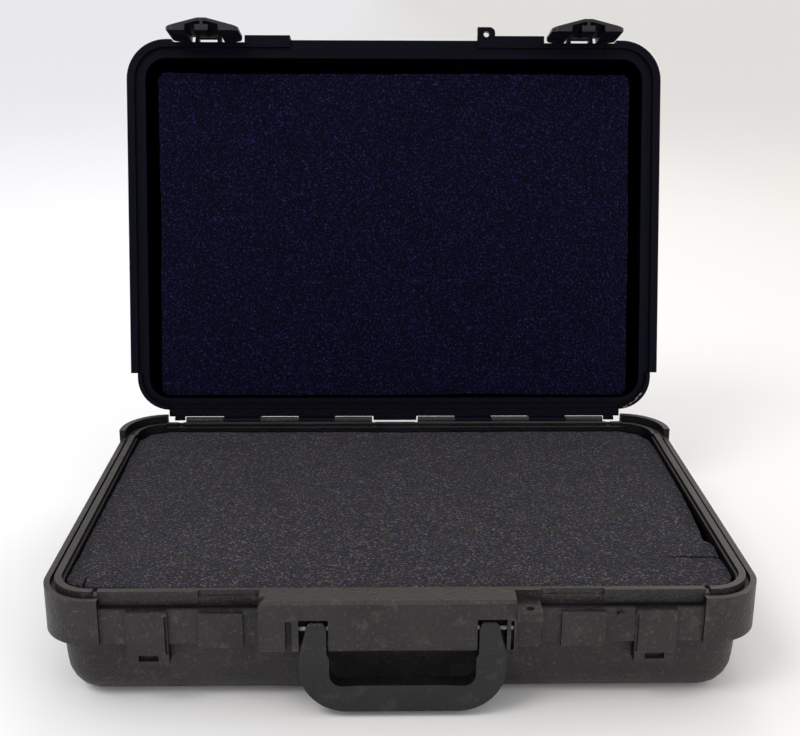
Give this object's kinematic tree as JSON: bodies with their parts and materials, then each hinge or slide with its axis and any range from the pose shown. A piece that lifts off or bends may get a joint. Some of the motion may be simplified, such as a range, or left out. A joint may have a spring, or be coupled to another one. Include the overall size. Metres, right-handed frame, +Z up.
{
  "type": "laptop hard case",
  "caption": "Hard carrying case for a laptop with a foam-filled base, a hinged foam-lined lid, snap latches, padlock ears and a swinging carry handle.",
  "frame": {"origin": "middle of the underside of the base, where it stands on the table", "axes": "+X to the right, +Y to the rear where the hinges are, +Z up; the handle and the latches' catches are on the -Y face"},
  "size_m": [0.464, 0.4554, 0.4167],
  "materials": {
    "base_plastic": "fine grained moulded surface",
    "lid_plastic": "fine grained moulded surface",
    "handle_plastic": "fine grained moulded surface",
    "latch_plastic": "smooth moulded surface",
    "pin_steel": "plain",
    "base_foam": "open cell foam",
    "lid_foam": "open cell foam"
  },
  "bodies": {
    "base": {"base_shell": "base_plastic", "hinge_pin_left": "pin_steel", "hinge_pin_right": "pin_steel", "handle_pin_left": "pin_steel", "handle_pin_right": "pin_steel", "base_foam": "base_foam", "base_foam_filler": "base_foam"},
    "lid": {"lid_shell": "lid_plastic", "lid_foam": "lid_foam", "latch_pin_left": "pin_steel", "latch_pin_right": "pin_steel"},
    "handle": {"carry_handle": "handle_plastic"},
    "latch_left_lever": {"latch_left": "latch_plastic"},
    "latch_right_lever": {"latch_right": "latch_plastic"}
  },
  "joints": [
    {"name": "lid_hinge", "type": "hinge", "parent": "base", "child": "lid", "pos_m": [0, 0.1665, 0.078], "axis": [1, 0, 0], "range_deg": [0, 103.5]},
    {"name": "handle_swing", "type": "hinge", "parent": "base", "child": "handle", "pos_m": [0, -0.166, 0.061], "axis": [-1, 0, 0], "range_deg": [-5, 90]},
    {"name": "latch_left_flip", "type": "hinge", "parent": "lid", "child": "latch_left_lever", "pos_m": [-0.16, 0.25086, 0.39939], "axis": [-1, 0, 0], "range_deg": [-1.5, 95]},
    {"name": "latch_right_flip", "type": "hinge", "parent": "lid", "child": "latch_right_lever", "pos_m": [0.16, 0.25086, 0.39939], "axis": [-1, 0, 0], "range_deg": [-1.5, 95]}
  ]
}
